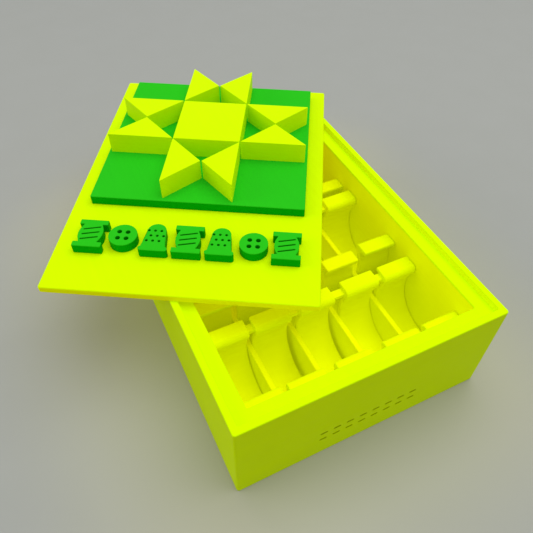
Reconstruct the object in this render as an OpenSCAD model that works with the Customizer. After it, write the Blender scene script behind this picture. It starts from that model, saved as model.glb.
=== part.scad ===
// Bobbin box: an open tray of spring clips for sewing machine bobbins, under a loose lid.
// The lid carries a patchwork star on a raised ground and a band of small sewing motifs.
// Origin: middle of the underside. +X to the right, +Y to the back, +Z up. Millimetres.

/* [Bobbins] */
// Diameter of the bobbins that the clips hold
bobbin_d = 20.3; // [19:0.1:25]
// Width of the bobbins that the clips hold
bobbin_w = 11.7; // [8:0.1:15]

/* [Clips] */
// Radial gap between a bobbin and its clip
clip_gap = 1.05; // [0.5:0.05:1.5]
// Wall thickness of the curved part of a clip
clip_t = 1.4; // [1:0.1:2]
// How much narrower a clip is than a bobbin
clip_inset = 0.5; // [0.3:0.1:2]
// How far each side of the mouth reaches in over the widest part of the cradle
mouth_bite = 2.45; // [1:0.05:3]
// How far the tops of the lips lie below the highest point of the cradle's circle
lip_drop = 1.5; // [0.5:0.1:3]
// Thickness of the flat finger lips
lip_t = 1.5; // [1:0.1:3]
// How far the lips reach out past the curved wall
lip_out = 1.5; // [0.5:0.1:3]
// Radius of the rounded edge that leads a bobbin into the mouth
nose_r = 1.6; // [0.8:0.1:1.8]
// Height of a clip above the floor
clip_lift = 1.7; // [1.7:0.1:4]
// Length of the foot under a clip
foot_l = 8; // [4:0.5:14]
// Sideways shift of each column of clips from the middle of its slot
column_shift = [0.1, -0.6, -0.4, 0.6, 0.1]; // [-0.6:0.1:0.6]
// Front row: how much lower each clip stands
front_drop = [0, 0, 0, 0, 0]; // [0:0.1:1.7]
// Middle row: how much lower each clip stands
middle_drop = [0, 0, 0, 1.7, 0]; // [0:0.1:1.7]
// Back row: how much lower each clip stands
back_drop = [0, 0, 0, 0, 1]; // [0:0.1:1.7]

/* [Slots] */
// Side play of a bobbin between two ribs
slot_gap = 0.9; // [0.8:0.1:3]
// Side play of a bobbin between an end wall and a rib
end_slot_gap = 0.2; // [0.1:0.1:3]
// Thickness of the ribs between the columns
rib_t = 1.6; // [1:0.1:3]
// Height of the ribs above the floor
rib_h = 13.4; // [5:0.2:16]
// Clear distances between one row of clips and the next
row_gap = [6, 3.5]; // [3:0.5:12]
// Clear distance from the end rows to the walls
end_gap = 0.45; // [0.3:0.05:6]

/* [Tie bars] */
// Width of the bars that tie the back arms of a row together
bar_w = 2.6; // [1.5:0.1:3]
// Thickness of the tie bars
bar_t = 1.3; // [1:0.1:2]
// How far a tie bar reaches in under the outermost line of the curved wall
bar_reach = 2.4; // [1.5:0.1:2.8]

/* [Box] */
// Overall height of the box
box_h = 35; // [32:0.5:60]
// Thickness of the floor
floor_t = 1.6; // [1:0.1:4]
// Width of the ledge that the closed lid rests on
ledge_w = 4; // [2:0.5:8]
// Thickness of the thin lip that stands up around the lid
rim_t = 2; // [1.2:0.1:4]
// Length of one stitch in the decoration on the front wall
stitch_l = 2.3; // [1:0.1:3]
// Height of one stitch
stitch_h = 0.8; // [0.3:0.1:1]
// Depth of the stitches
stitch_depth = 0.4; // [0.1:0.1:0.6]
// Distance from one stitch to the next
stitch_pitch = 4.1; // [3.5:0.1:6]
// Number of stitches in each row
stitches = 8; // [2:1:12]
// Heights of the two rows of stitches
stitch_z = [12.5, 9]; // [4:0.5:24]

/* [Lid] */
// Thickness of the lid, which is also the depth of its seat in the box
lid_t = 2; // [1.5:0.1:4]
// Clearance around the lid when it is seated
lid_gap = 0.15; // [0.1:0.05:0.5]
// Sideways place of the lid's middle, as it lies loose on the rim
lid_x = -12; // [-16:0.5:16]
// Front to back place of the lid's middle, as it lies loose on the rim
lid_y = 31.7; // [0:0.1:34]
// Turn of the loose lid about a vertical line through its middle
lid_turn = -30.5; // [-60:0.5:60]

/* [Patchwork star] */
// Side of the square ground plate
ground_side = 65; // [64.5:0.5:74]
// Thickness of the ground plate
ground_t = 3; // [1:0.1:6]
// Distance from the lid's middle to the middle of the ground plate
ground_y = 14.6; // [0:0.1:16]
// Side of one cell of the three by three star
cell = 21.3; // [10:0.1:21.4]
// Height of the star pieces above the ground
star_h = 6.8; // [1:0.1:12]
// Hairline gap around each star point
piece_gap = 0.2; // [0.05:0.05:1]
// Distance from the middle of the ground plate to the middle of the star
star_shift = 0.3; // [-0.3:0.1:0.3]

/* [Motifs] */
// Width of a motif
motif_w = 8.2; // [5:0.1:8.4]
// Height of a motif, from the front to the back of the lid
motif_l = 10.4; // [7:0.1:14]
// Thickness of the motifs
motif_t = 3; // [1:0.1:6]
// Distance from the middle of one motif to the next
motif_pitch = 9.3; // [9:0.1:10]
// Distance from the lid's middle to the middle of the band of motifs
motif_y = -32.9; // [-40:0.1:-30]

/* [Hidden] */
$fn = 96;
eps = 0.01;
columns = 5;
rows = 3;
row_names = ["front", "middle", "back"];
drops = [front_drop, middle_drop, back_drop];

// Clip
cradle_r = bobbin_d / 2 + clip_gap;
clip_r = cradle_r + clip_t;
clip_w = bobbin_w - clip_inset;
clip_l = 2 * (clip_r + lip_out);
mouth_half = cradle_r - mouth_bite;
mouth_rise = cradle_r - lip_drop;
arm_end = mouth_half + nose_r / 3;
cradle_z = floor_t + clip_lift + clip_r;
bar_y = clip_r - bar_reach;

// Box
wall_t = rim_t + ledge_w;
slot_w = bobbin_w + slot_gap;
end_slot_w = bobbin_w + end_slot_gap;
inner_w = 2 * end_slot_w + (columns - 2) * slot_w + (columns - 1) * rib_t;
inner_l = rows * clip_l + row_gap[0] + row_gap[1] + 2 * end_gap;
box_w = inner_w + 2 * wall_t;
box_l = inner_l + 2 * wall_t;
seat_z = box_h - lid_t;
stitch_row_l = (stitches - 1) * stitch_pitch;

// Lid
lid_w = box_w - 2 * (rim_t + lid_gap);
lid_l = box_l - 2 * (rim_t + lid_gap);
motif_kinds = ["spool", "button", "thimble", "spool", "thimble", "button", "spool"];

// Middle of each row of clips and of each column's slot
function row_y(row) = -inner_l / 2 + end_gap + clip_l * (row + 0.5)
    + (row > 0 ? row_gap[0] : 0) + (row > 1 ? row_gap[1] : 0);
function rib_x(rib) = -inner_w / 2 + end_slot_w + rib_t / 2 + rib * (slot_w + rib_t);
function slot_x(column) =
    column == 0 ? rib_x(0) - (rib_t + end_slot_w) / 2
    : column == columns - 1 ? rib_x(columns - 2) + (rib_t + end_slot_w) / 2
    : (rib_x(column - 1) + rib_x(column)) / 2;
function clip_x(column) = slot_x(column) + column_shift[column];

function clip_name(row, column) = str("clip_", row_names[row], "_", column + 1);
CLIPS = [for (row = [0 : rows - 1]) for (column = [0 : columns - 1]) clip_name(row, column)];
RIBS = [for (rib = [0 : columns - 2]) str("slot_rib_", rib + 1)];
BARS = [for (row = [0 : rows - 1]) str("tie_bar_", row_names[row])];
POINTS = [for (side = [0 : 3]) for (half = [0 : 1]) str("star_point_", 2 * side + half + 1)];
MOTIFS = [for (i = [0 : len(motif_kinds) - 1]) str("motif_", i + 1, "_", motif_kinds[i])];

// A box from its corner, given the lower and the upper corner
module block(low, high) {
    translate(low) cube(high - low);
}

// The shell: floor, four walls, the ledge for the lid and the stitches on the front
module box_shell() {
    color("greenyellow") difference() {
        block([-box_w / 2, -box_l / 2, 0], [box_w / 2, box_l / 2, box_h]);
        block([-inner_w / 2, -inner_l / 2, floor_t], [inner_w / 2, inner_l / 2, box_h + 1]);
        block([-box_w / 2 + rim_t, -box_l / 2 + rim_t, seat_z],
              [box_w / 2 - rim_t, box_l / 2 - rim_t, box_h + 1]);
        for (z = stitch_z) for (i = [0 : stitches - 1])
            translate([-stitch_row_l / 2 + i * stitch_pitch, -box_l / 2, z])
                cube([stitch_l, 2 * stitch_depth, stitch_h], center = true);
    }
}

// Outline of a clip across its width, with the middle of its cradle at the origin
module clip_outline(foot_h) {
    difference() {
        union() {
            circle(r = clip_r);
            translate([-foot_l / 2, -foot_h]) square([foot_l, foot_h]);
        }
        circle(r = cradle_r);
        translate([-arm_end, 0]) square([2 * arm_end, clip_r + 1]);
    }
    for (side = [0, 1]) mirror([side, 0]) {
        translate([mouth_half + nose_r, mouth_rise - nose_r]) circle(r = nose_r);
        translate([mouth_half + nose_r, mouth_rise - lip_t])
            square([clip_l / 2 - mouth_half - nose_r, lip_t]);
    }
}

// One spring clip: a C-shaped cradle with two flat lips, on a foot
module clip(row, column) {
    drop = drops[row][column];
    color("greenyellow")
        translate([clip_x(column) - clip_w / 2, row_y(row), cradle_z - drop])
            rotate([90, 0, 90]) linear_extrude(clip_w) clip_outline(cradle_z - drop - floor_t);
}

// One low rib between two columns, from the front wall to the back wall
module slot_rib(rib) {
    color("yellowgreen")
        block([rib_x(rib) - rib_t / 2, -inner_l / 2, floor_t],
              [rib_x(rib) + rib_t / 2, inner_l / 2, floor_t + rib_h]);
}

// The bar that ties the back arms of one row, as the pieces that bridge its gaps
module tie_bar(row) {
    bar_top = cradle_z + mouth_rise - lip_t;
    color("yellowgreen") for (column = [0 : columns - 2])
        block([clip_x(column) + clip_w / 2, row_y(row) + bar_y, bar_top - bar_t],
              [clip_x(column + 1) - clip_w / 2, row_y(row) + bar_y + bar_w, bar_top]);
}

// Places what belongs to the lid: its origin is the middle of the lid's underside
module on_lid() {
    translate([lid_x, lid_y, box_h]) rotate(lid_turn) children();
}

// The flat lid
module lid_plate() {
    color("greenyellow") on_lid()
        block([-lid_w / 2, -lid_l / 2, 0], [lid_w / 2, lid_l / 2, lid_t]);
}

// The square plate that the star stands on
module ground_plate() {
    color("limegreen") on_lid() translate([0, ground_y, lid_t])
        block([-ground_side / 2, -ground_side / 2, 0], [ground_side / 2, ground_side / 2, ground_t]);
}

module on_ground() {
    on_lid() translate([0, ground_y + star_shift, lid_t + ground_t]) children();
}

// The square in the middle of the star
module star_centre() {
    color("yellow") on_ground()
        translate([-cell / 2, -cell / 2, 0]) cube([cell, cell, star_h]);
}

// One point of the star: half of a cell's hourglass. Points go round in pairs from the right
// cell, and the second of a pair mirrors the first.
module star_point(number) {
    side = floor(number / 2);
    reach = cell / 2 - piece_gap;
    color("yellow") on_ground() rotate(90 * side) translate([cell, 0, 0])
        mirror([0, number % 2, 0]) linear_extrude(star_h)
            polygon([[0, piece_gap], [reach, reach + piece_gap], [-reach, reach + piece_gap]]);
}

// Outline of a full spool: two flanges and a bulging pack of thread with slanted grooves
module spool_outline() {
    flange_l = 0.17 * motif_l;
    pack_l = motif_l - 2 * flange_l;
    side = [for (t = [-1 : 0.1 : 1]) [motif_w * (0.43 - 0.12 * t * t), t * (pack_l / 2 + eps)]];
    for (end = [-1, 1]) translate([0, end * (motif_l - flange_l) / 2])
        square([motif_w, flange_l], center = true);
    difference() {
        polygon(concat(side, [for (p = side) -p]));
        for (i = [-1 : 1]) translate([0, 0.28 * i * pack_l]) rotate(14)
            square([0.62 * motif_w, 0.055 * motif_w], center = true);
    }
}

// Outline of a button with four holes
module button_outline() {
    hole_d = 0.17 * motif_w;
    difference() {
        circle(d = motif_w);
        for (turn = [45 : 90 : 315]) rotate(turn) translate([0.21 * motif_w, 0]) circle(d = hole_d);
    }
}

// Outline of a thimble: a round-topped cap with dimples, standing on a rolled rim
module thimble_outline() {
    rim_l = 0.16 * motif_l;
    top_r = 0.33 * motif_w;
    foot = -motif_l / 2 + rim_l;
    shoulder = motif_l / 2 - top_r;
    dimple_d = 0.1 * motif_w;
    translate([0, -motif_l / 2 + rim_l / 2]) square([motif_w - rim_l, rim_l], center = true);
    for (side = [-1, 1]) translate([side * (motif_w - rim_l) / 2, -motif_l / 2 + rim_l / 2])
        circle(d = rim_l);
    difference() {
        union() {
            translate([0, shoulder]) circle(r = top_r);
            polygon([[-0.42 * motif_w, foot - eps], [0.42 * motif_w, foot - eps],
                     [top_r, shoulder], [-top_r, shoulder]]);
        }
        for (line = [0 : 2]) for (i = [-1 : 1])
            translate([(i + (line % 2) / 2 - 0.25) * 0.22 * motif_w, shoulder - line * 0.19 * motif_l])
                circle(d = dimple_d);
    }
}

// One raised motif in the band along the front of the lid
module motif(number) {
    kind = motif_kinds[number];
    color("limegreen") on_lid()
        translate([(number - (len(motif_kinds) - 1) / 2) * motif_pitch, motif_y, lid_t])
            linear_extrude(motif_t) {
                if (kind == "spool") spool_outline();
                if (kind == "button") button_outline();
                if (kind == "thimble") thimble_outline();
            }
}

box_shell();
for (row = [0 : rows - 1]) for (column = [0 : columns - 1])
    clip(row, column);
for (i = [0 : len(RIBS) - 1]) slot_rib(i);
for (i = [0 : len(BARS) - 1]) tie_bar(i);
lid_plate();
ground_plate();
star_centre();
for (i = [0 : len(POINTS) - 1]) star_point(i);
for (i = [0 : len(MOTIFS) - 1]) motif(i);
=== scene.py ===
"""Bobbin box: an open printed tray of spring clips, and a loose lid with a patchwork star.

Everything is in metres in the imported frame: origin in the middle of the underside, +X to the
right along the front wall, +Y to the back, +Z up. Lengths are named in millimetres.
"""

import math

import bpy
import numpy as np
from mathutils import Matrix, Vector
from mathutils.geometry import tessellate_polygon


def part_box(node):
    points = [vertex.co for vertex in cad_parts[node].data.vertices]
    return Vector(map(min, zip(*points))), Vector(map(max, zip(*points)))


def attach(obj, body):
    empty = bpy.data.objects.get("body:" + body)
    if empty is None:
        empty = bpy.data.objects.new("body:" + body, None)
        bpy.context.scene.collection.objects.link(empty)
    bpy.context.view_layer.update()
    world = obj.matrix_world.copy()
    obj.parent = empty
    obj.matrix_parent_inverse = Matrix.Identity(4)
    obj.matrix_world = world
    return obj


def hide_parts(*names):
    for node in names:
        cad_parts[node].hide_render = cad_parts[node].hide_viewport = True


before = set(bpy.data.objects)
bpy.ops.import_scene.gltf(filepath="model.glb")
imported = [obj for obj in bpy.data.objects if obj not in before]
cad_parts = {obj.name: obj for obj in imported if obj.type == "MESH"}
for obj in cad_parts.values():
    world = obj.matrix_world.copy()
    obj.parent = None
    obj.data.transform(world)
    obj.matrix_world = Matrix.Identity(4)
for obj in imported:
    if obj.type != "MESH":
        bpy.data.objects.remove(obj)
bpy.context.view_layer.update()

MM = 0.001
COLUMNS = 5
ROWS = ("front", "middle", "back")

# Soft edges that a nozzle leaves, as radii: it rounds each upright corner in plan, and each top
# edge a little less. An edge's radius stays below its corners', so that no ring crosses itself.
CORNER_R, EDGE_R = 0.35, 0.22
CLIP_CORNER_R, CLIP_EDGE_R = 0.55, 0.36
RIB_R = 0.3
PLATE_CORNER_R, PLATE_TOP_R, PLATE_FOOT_R = 0.8, 0.45, 0.15
POINT_CORNER_R, POINT_EDGE_R = 0.15, 0.05
SPOOL_CORNER_R, MOTIF_EDGE_R, STITCH_EDGE_R = 0.25, 0.15, 0.08
# The tray's own edges: its foot, the rim's two top edges, the ledge's edge, and inner corners
FOOT_R, RIM_OUT_R, RIM_IN_R, LEDGE_R, ROOT_R = 0.5, 0.35, 0.25, 0.3, 0.2
# Faces that meet at more than this keep a crease
CREASE = math.radians(50)
# How far one printed feature runs into the next, so that the two look printed in one go
FUSE = 0.25

# Clip: the cradle's inner and outer radius, the lip's round nose, and its mouth, lip and foot
CRADLE_R, CLIP_R, NOSE_R = 11.2, 12.6, 1.6
MOUTH_HALF, MOUTH_RISE, LIP_T, FOOT_L = 8.75, 9.7, 1.5, 8.0

# Tray shell, and the running stitch on its front wall
FLOOR_T, WALL_T, RIM_T, SEAT_DEPTH = 1.6, 6.0, 2.0, 2.0
STITCH_L, STITCH_H, STITCH_DEPTH, STITCH_PITCH, STITCHES = 2.3, 0.8, 0.4, 4.1, 8
STITCH_Z = (12.5, 9.0)

# Lid, turned as it lies on the rim, and what stands on it. MOTIF_Y and GROUND_Y are from its middle
LID_TURN = math.radians(-30.5)
GROUND_SIDE, GROUND_Y, CELL, PIECE_GAP, STAR_SHIFT = 65.0, 14.6, 21.3, 0.2, 0.3
MOTIF_W, MOTIF_L, MOTIF_PITCH, MOTIF_Y = 8.2, 10.4, 9.3, -32.9
MOTIF_KINDS = ("spool", "button", "thimble", "spool", "thimble", "button", "spool")


def box_mm(node):
    """Lowest and highest corner of a CAD node, in millimetres."""
    low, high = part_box(node)
    return np.array(low) / MM, np.array(high) / MM


# ---------------------------------------------------------------- camera
def aim_camera():
    """Camera at a distance from an aim point, back along (sin a cos e, -cos a cos e, sin e)."""
    azimuth, elevation, roll = math.radians(-26.72), math.radians(49.0), math.radians(0.97)
    low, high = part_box("box_shell")
    aim = Vector((-4.43, 2.06, 0)) * MM + (low + high) / 2
    distance = 177.4 * MM
    back = Vector((math.sin(azimuth) * math.cos(elevation),
                   -math.cos(azimuth) * math.cos(elevation), math.sin(elevation)))
    data = bpy.data.cameras.new("camera")
    data.sensor_width, data.lens = 36.0, 36.96
    camera = bpy.data.objects.new("camera", data)
    camera.rotation_mode = "QUATERNION"
    camera.location = aim + back * distance
    turn = (-back).to_track_quat("-Z", "Y").to_matrix().to_4x4() @ Matrix.Rotation(roll, 4, "Z")
    camera.rotation_quaternion = turn.to_quaternion()
    data.clip_start, data.clip_end = 0.01, 20
    bpy.context.scene.collection.objects.link(camera)
    bpy.context.scene.camera = camera


aim_camera()


# ---------------------------------------------------------------- materials
def linear(code):
    """sRGB hex to linear RGBA: c / 12.92 below 0.04045, else ((c + 0.055) / 1.055) to the power
    2.4, with c from 0 to 1."""
    c = np.array([int(code[i:i + 2], 16) for i in (1, 3, 5)]) / 255
    return (*np.where(c <= 0.04045, c / 12.92, ((c + 0.055) / 1.055) ** 2.4), 1.0)


def add(tree, kind, inputs=(), **settings):
    """Adds a shader node: settings are its properties, inputs are values or sockets to link."""
    made = tree.nodes.new(kind)
    for name, value in settings.items():
        setattr(made, name, value)
    for key, value in dict(inputs).items():
        if isinstance(value, bpy.types.NodeSocket):
            tree.links.new(value, made.inputs[key])
        else:
            made.inputs[key].default_value = value
    return made


# The yellow filament, lit on the lid and on the tray's top, and with painted warm bounce light and
# shade on the clips and deep in the tray
LIT, BOX_LIT, CLIP_WARM_BOUNCE, DEEP_WARM_BOUNCE = "#CAF100", "#C8F000", "#DCF200", "#EAF200"
# It with painted shade on outer walls and darker painted shade in the stitches, its glints, and the
# colour of a painted warm glow that stands in for daylight filtered through the lid
SHADED, RECESS_SHADE, GLINT, UNDERSIDE_GLOW = "#BCD600", "#98AC00", "#F0FF00", "#FFBE00"
# The green filament, with a painted sheen on tops and painted shade on side faces, and its glints
GREEN_TOP_SHEEN, GREEN_SIDE_SHADE, GREEN_GLINT = "#28B91A", "#00A000", "#80FF80"
LAYER_H = 0.28      # mm, one printed layer
BEAD_W = 0.45       # mm, one line of the top surface's fill
BEAD_DEPTH = 0.03   # mm, how deep the grooves between layers and lines are
ROUGH = 0.42        # satin, as the fine beads break up the gloss of PLA


def printed_pla(name, lit, deep, turn, deep_from, deep_to, tint, glow=0.0, through=0.0):
    """PLA filament laid down in layers: satin, with fine level lines on what stands up, diagonal
    fill lines on what faces up, and faint bands where a layer came out fuller than the next.

    The colour goes from lit to deep as Z goes from deep_from down to deep_to (mm): painted shade
    and painted warm bounce light, for less daylight and more light bounced inside further down.
    A painted glow of glow lies all over; undersides get a warm painted glow of through more.
    """
    material = bpy.data.materials.new(name)
    material.use_nodes = True
    tree = material.node_tree
    tree.nodes.clear()
    place = add(tree, "ShaderNodeTexCoord")
    level = add(tree, "ShaderNodeMapping", {0: place.outputs["Object"], "Rotation": (0, 0, -turn)})
    axes = add(tree, "ShaderNodeSeparateXYZ", {0: level.outputs[0]})
    facing = add(tree, "ShaderNodeSeparateXYZ", {0: place.outputs["Normal"]})
    up = add(tree, "ShaderNodeMath", {0: facing.outputs["Z"]}, operation="ABSOLUTE")
    flat = add(tree, "ShaderNodeMapRange", {0: up.outputs[0], 1: 0.75, 2: 0.95},
               interpolation_type="SMOOTHSTEP")

    # Beads: one hump per layer, height 1 - (2 f - 1)^2 with f the fraction of the layer
    layers = add(tree, "ShaderNodeMath", {0: axes.outputs["Z"], 1: 1 / (LAYER_H * MM)},
                 operation="MULTIPLY")
    across = add(tree, "ShaderNodeMath", {0: axes.outputs["X"], 1: axes.outputs["Y"]},
                 operation="ADD")
    lines = add(tree, "ShaderNodeMath", {0: across.outputs[0], 1: math.sqrt(0.5) / (BEAD_W * MM)},
                operation="MULTIPLY")
    count = add(tree, "ShaderNodeMix", {0: flat.outputs[0], 2: layers.outputs[0],
                                        3: lines.outputs[0]})
    part = add(tree, "ShaderNodeMath", {0: count.outputs[0]}, operation="FRACT")
    swing = add(tree, "ShaderNodeMath", {0: part.outputs[0], 1: 2.0, 2: -1.0},
                operation="MULTIPLY_ADD")
    square = add(tree, "ShaderNodeMath", {0: swing.outputs[0], 1: 2.0}, operation="POWER")
    hump = add(tree, "ShaderNodeMath", {0: 1.0, 1: square.outputs[0]}, operation="SUBTRACT")

    # Bands: noise about 40 mm long along the layers and 0.9 mm across them
    band_place = add(tree, "ShaderNodeMapping", {0: place.outputs["Object"],
                                                 "Scale": (25, 25, 1100)})
    bands = add(tree, "ShaderNodeTexNoise", {0: band_place.outputs[0], "Scale": 1.0,
                                             "Detail": 2.0})
    # Fill lines that are not quite alike: noise 22 mm long on the diagonal and 1.1 mm across it
    slant = add(tree, "ShaderNodeMapping", {0: place.outputs["Object"],
                                            "Rotation": (0, 0, math.pi / 4 - turn),
                                            "Scale": (900, 45, 45)})
    fill = add(tree, "ShaderNodeTexNoise", {0: slant.outputs[0], "Scale": 1.0, "Detail": 2.0})
    uneven = add(tree, "ShaderNodeMix", {0: flat.outputs[0], 2: bands.outputs[0],
                                         3: fill.outputs[0]})
    height = add(tree, "ShaderNodeMath", {0: uneven.outputs[0], 1: 1.6, 2: hump.outputs[0]},
                 operation="MULTIPLY_ADD")
    relief = add(tree, "ShaderNodeBump", {"Strength": 0.35, "Distance": BEAD_DEPTH * MM,
                                          "Height": height.outputs[0]})

    # Colour: painted shade and warm bounce light that change lower down, and a tone of the filament
    # that wanders by a few per cent
    depth_shade = add(tree, "ShaderNodeMapRange", {0: axes.outputs["Z"], 1: deep_from * MM,
                                             2: deep_to * MM}, interpolation_type="SMOOTHSTEP")
    pigment_and_shade = add(tree, "ShaderNodeMix", {0: depth_shade.outputs[0], 6: linear(lit), 7: linear(deep)},
                  data_type="RGBA")
    cloud = add(tree, "ShaderNodeTexNoise", {0: place.outputs["Object"], "Scale": 90.0,
                                             "Detail": 3.0})
    shade = add(tree, "ShaderNodeMath", {0: cloud.outputs[0], 1: 0.06, 2: 0.97},
                operation="MULTIPLY_ADD")
    streak = add(tree, "ShaderNodeMath", {0: uneven.outputs[0], 1: 0.06, 2: -0.03},
                 operation="MULTIPLY_ADD")
    value = add(tree, "ShaderNodeMath", {0: shade.outputs[0], 1: streak.outputs[0]},
                operation="ADD")
    colour = add(tree, "ShaderNodeHueSaturation", {"Value": value.outputs[0],
                                                   "Color": pigment_and_shade.outputs[2]})
    gloss = add(tree, "ShaderNodeMapRange", {0: uneven.outputs[0], 1: 0.3, 2: 0.7,
                                             3: ROUGH - 0.05, 4: ROUGH + 0.07})
    # Painted glow all over in the deep colour; for a through material, in UNDERSIDE_GLOW and
    # stronger on undersides
    strength, glow_colour = glow, deep
    if through:
        under = add(tree, "ShaderNodeMapRange", {0: facing.outputs["Z"], 1: -0.6, 2: -0.9,
                                                 3: glow, 4: glow + through})
        strength, glow_colour = under.outputs[0], UNDERSIDE_GLOW
    shader = add(tree, "ShaderNodeBsdfPrincipled", {
        "Base Color": colour.outputs[0], "Roughness": gloss.outputs[0],
        "Normal": relief.outputs[0], "IOR": 1.46, "Specular IOR Level": 0.012,
        "Specular Tint": linear(tint), "Emission Color": linear(glow_colour),
        "Emission Strength": strength})
    add(tree, "ShaderNodeOutputMaterial", {0: shader.outputs[0]})
    return material


YELLOW = "printed_pla_fluorescent_yellow_"
# Copies of one yellow with painted shade and bounce light: each turns from its lit to its deep
# colour between the two heights given, with a painted glow after its glint colour
box_pla = printed_pla(YELLOW + "tray", BOX_LIT, SHADED, 0.0, 34.9, 34.3, GLINT, 0.10)
wall_pla = printed_pla(YELLOW + "inside", BOX_LIT, DEEP_WARM_BOUNCE, 0.0, 32.9, 32.0, GLINT, 0.08)
inner_pla = printed_pla(YELLOW + "clips", CLIP_WARM_BOUNCE, DEEP_WARM_BOUNCE, 0.0, 26, 22, GLINT, 0.08)
recess_shade_pla = printed_pla(YELLOW + "recess_shade", RECESS_SHADE, RECESS_SHADE, 0.0, 34, 33, GLINT, 0.02)
lid_pla = printed_pla(YELLOW + "lid", LIT, DEEP_WARM_BOUNCE, LID_TURN, 36.9, 36.5, GLINT, 0.03, 0.3)
star_pla = printed_pla(YELLOW + "star", LIT, LIT, LID_TURN, 46.8, 40, GLINT, 0.03)
# The green's tops carry a painted sheen and its side faces painted shade, below 39.6 mm
green_pla = printed_pla("printed_pla_green", GREEN_TOP_SHEEN, GREEN_SIDE_SHADE, LID_TURN, 39.95, 39.6, GREEN_GLINT)


# ---------------------------------------------------------------- shapes
def object_from(name, points, faces, materials, body, slot, replaced):
    """Puts points (millimetres) and faces into a mesh, and rides it on its body. The four-sided
    faces are the rounded ones, and the caps stay flat."""
    mesh = bpy.data.meshes.new(name)
    mesh.from_pydata(np.asarray(points) * MM, [], faces)
    mesh.validate()
    for material in materials:
        mesh.materials.append(material)
    mesh.polygons.foreach_set("use_smooth", [len(face) == 4 for face in faces])
    mesh.set_sharp_from_angle(angle=CREASE)
    piece = bpy.data.objects.new(name, mesh)
    bpy.context.scene.collection.objects.link(piece)
    weighted = piece.modifiers.new("flat_faces_stay_flat", "WEIGHTED_NORMAL")
    weighted.keep_sharp = True
    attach(piece, body)
    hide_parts(*replaced)
    return piece


def arc(centre, radius, start, stop, steps):
    """Points centre + radius (cos t, sin t), with t from start to stop in degrees."""
    t = np.radians(np.linspace(start, stop, steps))
    return np.array(centre) + radius * np.stack([np.cos(t), np.sin(t)], 1)


def soft_corners(points, radius=CORNER_R, sharper_than=25, steps=4):
    """Replaces each sharp corner P of a closed outline by the curve
    (1-t)^2 (P - a u) + 2 t (1-t) P + t^2 (P + a v), with u and v the directions of its two sides
    and a = radius tan(turn / 2), at most 0.45 of the shorter side."""
    p = np.asarray(points, float)
    before, after = p - np.roll(p, 1, 0), np.roll(p, -1, 0) - p
    len_b, len_a = np.linalg.norm(before, axis=1), np.linalg.norm(after, axis=1)
    u, v = before / len_b[:, None], after / len_a[:, None]
    turn = np.arccos(np.clip((u * v).sum(1), -1, 1))
    reach = np.minimum(radius * np.tan(turn / 2), 0.45 * np.minimum(len_b, len_a))
    sharp = turn > math.radians(sharper_than)
    t = np.linspace(0, 1, steps + 1)[None, :, None]
    start, end, middle = p - reach[:, None] * u, p + reach[:, None] * v, p
    curve = ((1 - t) ** 2 * start[:, None] + 2 * t * (1 - t) * middle[:, None]
             + t ** 2 * end[:, None])
    curve[~sharp] = p[~sharp, None]
    keep = np.ones(curve.shape[:2], bool)
    keep[~sharp, 1:] = False
    return curve[keep]


def inward(loop):
    """For each point of an outline that has its solid on the left, the step that moves both of
    its sides inward by one: (n1 + n2) / (1 + n1.n2), with n1 and n2 the sides' left normals."""
    side = np.roll(loop, -1, 0) - loop
    side /= np.linalg.norm(side, axis=1)[:, None]
    n2 = np.stack([-side[:, 1], side[:, 0]], 1)
    n1 = np.roll(n2, 1, 0)
    return (n1 + n2) / np.maximum(1 + (n1 * n2).sum(1), 0.25)[:, None]


def prism(loops, low, high, edge_low=0.0, edge_high=EDGE_R, steps=3):
    """A solid between two heights over an outline with holes. The first loop runs anticlockwise,
    the holes clockwise. Ring k of a rounded edge of radius e is inset by e (1 - sin a) and lies
    e (1 - cos a) from the cap, with a from 0 to 90 degrees. Returns points and faces."""
    a = np.linspace(0, math.pi / 2, steps + 1)
    inset, height = [], []
    for edge, cap, way in ((edge_low, low, 1), (edge_high, high, -1)):
        if edge:
            ring_inset, ring_height = edge * (1 - np.sin(a)), cap + way * edge * (1 - np.cos(a))
        else:
            ring_inset, ring_height = np.zeros(1), np.full(1, float(cap))
        inset.append(ring_inset[::way])
        height.append(ring_height[::way])
    inset, height = np.concatenate(inset), np.concatenate(height)
    points, faces, base, caps = [], [], 0, ([], [])
    for loop in loops:
        loop = np.asarray(loop, float)
        n, rings = len(loop), len(inset)
        flat = loop[None] + inset[:, None, None] * inward(loop)[None]
        ring = np.concatenate([flat, np.broadcast_to(height[:, None, None], (rings, n, 1))], 2)
        index = base + np.arange(rings * n).reshape(rings, n)
        turned = np.roll(index, -1, 1)
        bands = np.stack([index[:-1], turned[:-1], turned[1:], index[1:]], 2)
        faces += bands.reshape(-1, 4).tolist()
        caps[0].append((flat[0], index[0]))
        caps[1].append((flat[-1], index[-1]))
        points.append(ring.reshape(-1, 3))
        base += rings * n
    for cap, flip in zip(caps, (True, False)):
        ids = np.concatenate([i for _, i in cap])
        if len(cap) == 1:
            faces.append((ids[::-1] if flip else ids).tolist())
        else:
            tris = ids[np.array(tessellate_polygon([[(*q, 0) for q in f] for f, _ in cap]))]
            flat_all = np.concatenate([f for f, _ in cap])
            lookup = dict(zip(ids.tolist(), flat_all))
            for tri in tris.tolist():
                (ax, ay), (bx, by), (cx, cy) = (lookup[i] for i in tri)
                up = (bx - ax) * (cy - ay) - (by - ay) * (cx - ax) > 0
                faces.append(tri if up != flip else tri[::-1])
    return np.concatenate(points), faces


def joined(parts):
    """Several (points, faces) as one."""
    points, faces, base = [], [], 0
    for p, f in parts:
        points.append(p)
        faces += [[i + base for i in face] for face in f]
        base += len(p)
    return np.concatenate(points), faces


def rectangle(low, high):
    """The four corners of a rectangle, anticlockwise."""
    (x0, y0), (x1, y1) = low, high
    return np.array([(x0, y0), (x1, y0), (x1, y1), (x0, y1)], float)


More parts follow.
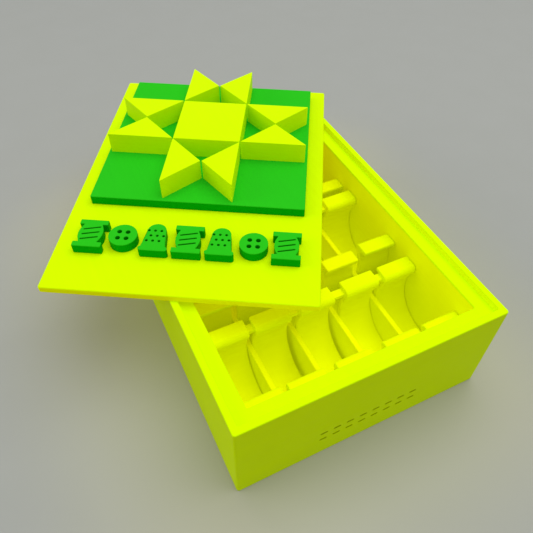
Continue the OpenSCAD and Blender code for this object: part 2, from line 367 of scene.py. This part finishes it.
# ---------------------------------------------------------------- tray
def rounded_ring(half_x, half_y, radius, steps=5):
    """A rectangle whose corners are arcs, as an anticlockwise ring of 4 (steps + 1) points."""
    t = np.linspace(0, math.pi / 2, steps + 1)
    quarter = radius * np.stack([np.cos(t), np.sin(t)], 1)
    centre = np.array([half_x - radius, half_y - radius])
    x, y = (centre + quarter).T
    return np.concatenate([np.stack([x, y], 1), np.stack([-x, y], 1)[::-1], np.stack([-x, -y], 1),
                           np.stack([x, -y], 1)[::-1]])


def tray_shell():
    """The wall's section carried round the tray: each section point is (inset from the outer
    face, height), and its ring is the outer rectangle less the inset, with rounder corners
    outside. The underside and the floor close it."""
    low, high = box_mm("box_shell")
    half, top = (high - low)[:2] / 2, high[2]
    seat = top - SEAT_DEPTH
    a = np.linspace(0, math.pi / 2, 4)
    bend = np.stack([1 - np.sin(a), 1 - np.cos(a)], 1)   # quarter circle from a cap to a wall
    rim, brow, edge, root = (bend * r for r in (RIM_OUT_R, RIM_IN_R, LEDGE_R, ROOT_R))
    section = np.concatenate([
        bend * FOOT_R,
        np.stack([rim[::-1, 0], top - rim[::-1, 1]], 1),
        np.stack([RIM_T - brow[:, 0], top - brow[:, 1]], 1),
        np.stack([RIM_T + root[::-1, 0], seat + root[::-1, 1]], 1),
        np.stack([WALL_T - edge[:, 0], seat - edge[:, 1]], 1),
        np.stack([WALL_T + root[::-1, 0], FLOOR_T + root[::-1, 1]], 1)])
    outside = section[:, 0] < RIM_T / 2
    plan_r = np.where(outside, 0.8 - 0.5 * section[:, 0], 0.5)
    rings = np.stack([rounded_ring(half[0] - inset, half[1] - inset, r)
                      for inset, r in zip(section[:, 0], plan_r)])
    k, n = rings.shape[:2]
    points = np.concatenate([rings, np.broadcast_to(section[:, 1][:, None, None], (k, n, 1))], 2)
    index = np.arange(k * n).reshape(k, n)
    turned = np.roll(index, -1, 1)
    faces = np.stack([index[:-1], turned[:-1], turned[1:], index[1:]], 2).reshape(-1, 4).tolist()
    faces += [index[0, ::-1].tolist(), index[-1].tolist()]
    shell = object_from("tray_shell", points.reshape(-1, 3), faces,
                        [box_pla, wall_pla, inner_pla, recess_shade_pla], "box", "box_pla",
                        ["box_shell"])
    # Slots, each a copy of the yellow with its own painted shade and glow: 0 outside and on top of
    # the rim, 2 round the lid's seat, 1 from the ledge inwards
    past_rim = section[:, 0] > RIM_T - 0.01
    above_ledge = section[:, 1] > seat + ROOT_R - 0.01
    zone = np.where(past_rim, np.where(above_ledge, 2, 1), 0)
    slots = np.repeat(zone[:-1], n).tolist() + [0, 1]
    shell.data.polygons.foreach_set("material_index", np.array(slots, np.int32))
    cut_stitches(shell, low[1])


def cut_stitches(shell, front):
    """Two rows of running stitch pressed into the front wall: each stitch is a round-ended slot,
    cut from just outside the wall to STITCH_DEPTH inside it, in the shell's last material, which
    paints shade into the slots."""
    length = (STITCHES - 1) * STITCH_PITCH
    r, reach = STITCH_H / 2, (STITCH_L - STITCH_H) / 2
    slots = []
    for z in STITCH_Z:
        for x in np.arange(STITCHES) * STITCH_PITCH - length / 2:
            outline = np.concatenate([arc((x + reach, z), r, -90, 90, 7),
                                      arc((x - reach, z), r, 90, 270, 7)])
            p, f = prism([outline], -0.5, STITCH_DEPTH, edge_high=STITCH_EDGE_R, steps=2)
            placed = np.stack([p[:, 0], front + p[:, 2], p[:, 1]], 1)
            slots.append((placed, [face[::-1] for face in f]))
    points, faces = joined(slots)
    mesh = bpy.data.meshes.new("stitch_cutter")
    mesh.from_pydata(points * MM, [], faces)
    for material in shell.data.materials:
        mesh.materials.append(material)
    last = len(shell.data.materials) - 1
    mesh.polygons.foreach_set("material_index", np.full(len(faces), last, np.int32))
    cutter = bpy.data.objects.new("stitch_cutter", mesh)
    bpy.context.scene.collection.objects.link(cutter)
    cut = shell.modifiers.new("stitches", "BOOLEAN")
    cut.operation, cut.solver, cut.object = "DIFFERENCE", "EXACT", cutter
    while shell.modifiers[0] != cut:
        shell.modifiers.move(len(shell.modifiers) - 1, 0)
    for other in shell.modifiers[1:]:
        other.show_viewport = False
    bpy.context.view_layer.update()
    view = bpy.context.evaluated_depsgraph_get()
    carved = bpy.data.meshes.new_from_object(shell.evaluated_get(view))
    shell.modifiers.remove(shell.modifiers[0])
    for other in shell.modifiers:
        other.show_viewport = True
    shell.data = carved
    carved.set_sharp_from_angle(angle=CREASE)
    bpy.data.objects.remove(cutter)


clip_low, clip_high = box_mm("clip_front_1")
CLIP_HALF = (clip_high - clip_low)[1] / 2


def clip_outline(foot_h):
    """One half of a clip and its mirror image, with the middle of the cradle at 0. From the foot:
    the outer arc of radius CLIP_R, to where the nose's circle meets it, at the nose's angle less
    acos((CLIP_R^2 + d^2 - NOSE_R^2) / (2 CLIP_R d)) with d the nose's distance; round the nose to
    the flat lip; over the lip and the nose; and down the cradle's arc of radius CRADLE_R."""
    nose = np.array([MOUTH_HALF + NOSE_R, MOUTH_RISE - NOSE_R])
    arm_x = MOUTH_HALF + NOSE_R / 3
    nose_turn = math.degrees(math.acos((nose[0] - arm_x) / NOSE_R))
    cradle_end = math.degrees(math.acos(arm_x / CRADLE_R))
    under = MOUTH_RISE - LIP_T
    away = np.hypot(*nose)
    meet = math.atan2(nose[1], nose[0]) - math.acos((CLIP_R ** 2 + away ** 2 - NOSE_R ** 2)
                                                    / (2 * CLIP_R * away))
    joint = CLIP_R * np.array([math.cos(meet), math.sin(meet)]) - nose
    foot = math.degrees(math.asin(FOOT_L / 2 / CLIP_R))
    right = np.concatenate([
        [(FOOT_L / 2, -foot_h)],
        arc((0, 0), CLIP_R, -90 + foot, math.degrees(meet), 34)[:-1],
        arc(nose, NOSE_R, math.degrees(math.atan2(joint[1], joint[0])),
            math.degrees(math.asin((under - nose[1]) / NOSE_R)), 8),
        [(CLIP_HALF, under), (CLIP_HALF, MOUTH_RISE)],
        arc(nose, NOSE_R, 90, 180 + nose_turn, 14),
        arc((0, 0), CRADLE_R, cradle_end, -90, 40)[:-1]])
    left = (right * (-1, 1))[::-1]
    return np.concatenate([right, [(0, -CRADLE_R)], left])


def tray_clip(row, column):
    """A clip: its outline carried along X over its width, on its foot."""
    node = f"clip_{row}_{column}"
    low, high = box_mm(node)
    middle_y, cradle_z = (low[1] + high[1]) / 2, high[2] - MOUTH_RISE
    outline = clip_outline(cradle_z - low[2] + FUSE)
    points, faces = prism([soft_corners(outline, CLIP_CORNER_R, sharper_than=60)], low[0],
                          high[0], edge_low=CLIP_EDGE_R, edge_high=CLIP_EDGE_R)
    placed = np.stack([points[:, 2], middle_y + points[:, 0], cradle_z + points[:, 1]], 1)
    object_from(f"spring_{node}", placed, faces, [inner_pla], "box", "box_pla", [node])


def slot_rib(number):
    """A thin rib, whose top edges are soft, fused into the floor and the end walls."""
    node = f"slot_rib_{number}"
    low, high = box_mm(node)
    section = soft_corners(rectangle((low[0], low[2] - FUSE), (high[0], high[2])), RIB_R)
    points, faces = prism([section], low[1] - FUSE, high[1] + FUSE, edge_high=0)
    object_from(f"fused_{node}", points[:, [0, 2, 1]], [face[::-1] for face in faces],
                [inner_pla], "box", "box_pla", [node])


def tie_bar(row):
    """The bar between the back arms of a row: one soft-edged bridge in each gap."""
    node = f"tie_bar_{row}"
    low, high = box_mm(node)
    bridges = []
    for column in range(1, COLUMNS):
        start = box_mm(f"clip_{row}_{column}")[1][0] - 2 * FUSE
        end = box_mm(f"clip_{row}_{column + 1}")[0][0] + 2 * FUSE
        section = soft_corners(rectangle(low[1:], high[1:]), RIB_R)
        points, faces = prism([section], start, end, edge_high=0)
        bridges.append((points[:, [2, 0, 1]], faces))
    object_from(f"bridging_{node}", *joined(bridges), [inner_pla], "box", "box_pla", [node])


# ---------------------------------------------------------------- lid
lid_low, lid_high = box_mm("lid_plate")
LID_MIDDLE = (lid_low + lid_high)[:2] / 2


def on_lid(points):
    """Turns points about the lid's middle to where the lid lies. Heights stay."""
    c, s = math.cos(LID_TURN), math.sin(LID_TURN)
    turned = points[:, :2] @ np.array([[c, s], [-s, c]]) + LID_MIDDLE
    return np.concatenate([turned, points[:, 2:]], 1)


def lid_piece(name, node, loops, material, slot, **edges):
    """An outline in the lid's own plan, raised between its node's heights and turned onto it."""
    low, high = box_mm(node)
    points, faces = prism(loops, low[2], high[2], **edges)
    object_from(name, on_lid(points), faces, [material], "lid", slot, [node])


def lid_plate():
    """The plate. Its width w and length l solve w c + l s = x and w s + l c = y, where x and y are
    the sides of the upright box round it and c and s the cosine and sine of its turn."""
    x, y = (lid_high - lid_low)[:2]
    c, s = math.cos(LID_TURN), abs(math.sin(LID_TURN))
    half = np.array([x * c - y * s, y * c - x * s]) / (c * c - s * s) / 2
    lid_piece("lid_plate_soft", "lid_plate",
              [soft_corners(rectangle(-half, half), PLATE_CORNER_R, steps=6)],
              lid_pla, "box_pla", edge_low=PLATE_FOOT_R, edge_high=PLATE_TOP_R)


def patchwork():
    """The green ground, and the star on it: a square, and two points in the cell beside each of its
    sides. A point is a right-angled triangle, with its right angle in the middle of the cell and
    its long side along the cell's edge."""
    ground = np.array([GROUND_SIDE, GROUND_SIDE]) / 2
    lid_piece("ground_plate_soft", "ground_plate",
              [soft_corners(rectangle(-ground, ground)) + (0, GROUND_Y)], green_pla, "green_pla")
    star_middle = np.array([0, GROUND_Y + STAR_SHIFT])
    cell = np.array([CELL, CELL]) / 2
    lid_piece("star_centre_soft", "star_centre", [rectangle(-cell, cell) + star_middle],
              star_pla, "star_pla")
    reach = CELL / 2 - PIECE_GAP
    for number in range(8):
        way = -1 if number % 2 else 1
        corners = np.array([(0, PIECE_GAP), (reach, reach + PIECE_GAP),
                            (-reach, reach + PIECE_GAP)])
        corners = corners * (1, way) + (CELL, 0)
        turn = math.radians(90 * (number // 2))
        c, s = math.cos(turn), math.sin(turn)
        corners = corners @ np.array([[c, s], [-s, c]]) + star_middle
        corners = corners if way == 1 else corners[::-1]
        lid_piece(f"star_point_{number + 1}_soft", f"star_point_{number + 1}",
                  [soft_corners(corners, POINT_CORNER_R)], star_pla, "star_pla",
                  edge_high=POINT_EDGE_R)


def spool_loops():
    """A full spool: a flange at each end, and between them a pack of thread whose sides bulge as
    w (0.43 - 0.12 t^2), with t from -1 to 1 along it, and three slanted grooves across it."""
    flange = 0.17 * MOTIF_L
    pack, w, h = MOTIF_L - 2 * flange, MOTIF_W / 2, MOTIF_L / 2
    t = np.linspace(-1, 1, 13)
    side = np.stack([MOTIF_W * (0.43 - 0.12 * t * t), t * pack / 2], 1)
    right = np.concatenate([[(w, -h), (w, flange - h)], side, [(w, h - flange), (w, h)]])
    outline = np.concatenate([right, (right * (-1, 1))[::-1]])
    slant = math.radians(14)
    turn = np.array([[math.cos(slant), math.sin(slant)], [-math.sin(slant), math.cos(slant)]])
    reach, r = 0.31 * MOTIF_W, 0.0275 * MOTIF_W
    groove = np.concatenate([arc((reach - r, 0), r, 90, -90, 5),
                             arc((r - reach, 0), r, 270, 90, 5)])
    grooves = [groove @ turn + (0, 0.28 * i * pack) for i in (-1, 0, 1)]
    return [soft_corners(outline, SPOOL_CORNER_R, sharper_than=40), *grooves]


def button_loops():
    """A round button with four thread holes."""
    holes = [arc(0.21 * MOTIF_W * np.array([math.cos(t), math.sin(t)]), 0.085 * MOTIF_W,
                 360, 0, 17)[:-1] for t in np.radians([45, 135, 225, 315])]
    return [arc((0, 0), MOTIF_W / 2, 0, 360, 65)[:-1], *holes]


def thimble_loops():
    """A thimble: a rolled rim, tapering sides, a round top, and three rows of dimples."""
    rim, top_r = 0.16 * MOTIF_L, 0.33 * MOTIF_W
    base, shoulder, w = -MOTIF_L / 2, MOTIF_L / 2 - 0.33 * MOTIF_W, MOTIF_W / 2
    right = np.concatenate([arc((w - rim / 2, base + rim / 2), rim / 2, -90, 62, 10),
                            [(0.42 * MOTIF_W, base + rim)],
                            arc((0, shoulder), top_r, 4, 90, 14)[:-1]])
    left = (right * (-1, 1))[::-1]
    outline = np.concatenate([right, [(0, shoulder + top_r)], left])
    dimples = [arc(((i + (line % 2) / 2 - 0.25) * 0.22 * MOTIF_W,
                    shoulder - line * 0.19 * MOTIF_L), 0.05 * MOTIF_W, 360, 0, 11)[:-1]
               for line in range(3) for i in (-1, 0, 1)]
    return [outline, *dimples]


MOTIF_SHAPES = {"spool": spool_loops, "button": button_loops, "thimble": thimble_loops}


def motifs():
    """The band of seven raised motifs, one MOTIF_PITCH apart."""
    for i, kind in enumerate(MOTIF_KINDS):
        middle = np.array([(i - (len(MOTIF_KINDS) - 1) / 2) * MOTIF_PITCH, MOTIF_Y])
        lid_piece(f"raised_{kind}_{i + 1}", f"motif_{i + 1}_{kind}",
                  [loop + middle for loop in MOTIF_SHAPES[kind]()], green_pla, "green_pla",
                  edge_high=MOTIF_EDGE_R)


tray_shell()
for row in ROWS:
    for column in range(1, COLUMNS + 1):
        tray_clip(row, column)
    tie_bar(row)
for number in range(1, COLUMNS):
    slot_rib(number)
lid_plate()
patchwork()
motifs()


# ---------------------------------------------------------------- floor and light
def studio():
    """A pale grey sheet with painted yellow bounce light round the box, broad soft lights above
    and from the left, and an even grey room.
    """
    side = 3.0
    mesh = bpy.data.meshes.new("floor")
    mesh.from_pydata([(-side, -side, 0), (side, -side, 0), (side, side, 0), (-side, side, 0)], [],
                     [(0, 1, 2, 3)])
    floor = bpy.data.objects.new("floor", mesh)
    bpy.context.scene.collection.objects.link(floor)
    paper = bpy.data.materials.new("matt_grey_paper")
    paper.use_nodes = True
    tree = paper.node_tree
    tree.nodes.clear()
    place = add(tree, "ShaderNodeTexCoord")
    grain = add(tree, "ShaderNodeTexNoise", {0: place.outputs["Object"], "Scale": 60.0,
                                             "Detail": 4.0})
    tone = add(tree, "ShaderNodeMix", {0: grain.outputs[0], 6: linear("#9A9B96"),
                                       7: linear("#9D9E9A")}, data_type="RGBA")
    # A painted pool of yellow bounce light on the paper near the fluorescent box: 0 at 60 mm from
    # the box's footprint
    low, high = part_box("box_shell")
    folded = add(tree, "ShaderNodeVectorMath", {0: place.outputs["Object"]}, operation="ABSOLUTE")
    beyond = add(tree, "ShaderNodeVectorMath", {0: folded.outputs[0],
                                                1: (high[0], high[1], 1.0)}, operation="SUBTRACT")
    outside = add(tree, "ShaderNodeVectorMath", {0: beyond.outputs[0], 1: (0, 0, 0)},
                  operation="MAXIMUM")
    away = add(tree, "ShaderNodeVectorMath", {0: outside.outputs[0]}, operation="LENGTH")
    near = add(tree, "ShaderNodeMapRange", {0: away.outputs["Value"], 1: 0.06, 2: 0.0},
               interpolation_type="SMOOTHSTEP")
    tone = add(tree, "ShaderNodeMix", {0: near.outputs[0], 6: tone.outputs[2],
                                       7: linear("#ABAA96")}, data_type="RGBA")
    shader = add(tree, "ShaderNodeBsdfPrincipled", {"Base Color": tone.outputs[2],
                                                    "Roughness": 0.7, "Specular IOR Level": 0.25})
    add(tree, "ShaderNodeOutputMaterial", {0: shader.outputs[0]})
    mesh.materials.append(paper)

    world = bpy.data.worlds.new("room")
    bpy.context.scene.world = world
    world.use_nodes = True
    air = world.node_tree.nodes["Background"].inputs
    air["Color"].default_value = (0.98, 1.0, 1.0, 1)
    air["Strength"].default_value = 0.60

    for name, spot, aim, size, watts in (
            ("ceiling_light", (0.20, 0.0, 0.78), (0.05, 0.0, 0), 0.8, 4.2),
            ("window_light", (-0.8, 0.30, 0.45), (0, 0, 0.02), 0.6, 2.0)):
        data = bpy.data.lights.new(name, "AREA")
        data.shape, data.size, data.energy = "SQUARE", size, watts
        light = bpy.data.objects.new(name, data)
        light.location = spot
        light.rotation_mode = "QUATERNION"
        light.rotation_quaternion = (Vector(aim) - Vector(spot)).to_track_quat("-Z", "Y")
        bpy.context.scene.collection.objects.link(light)


studio()
bpy.context.scene.view_settings.view_transform = "Standard"
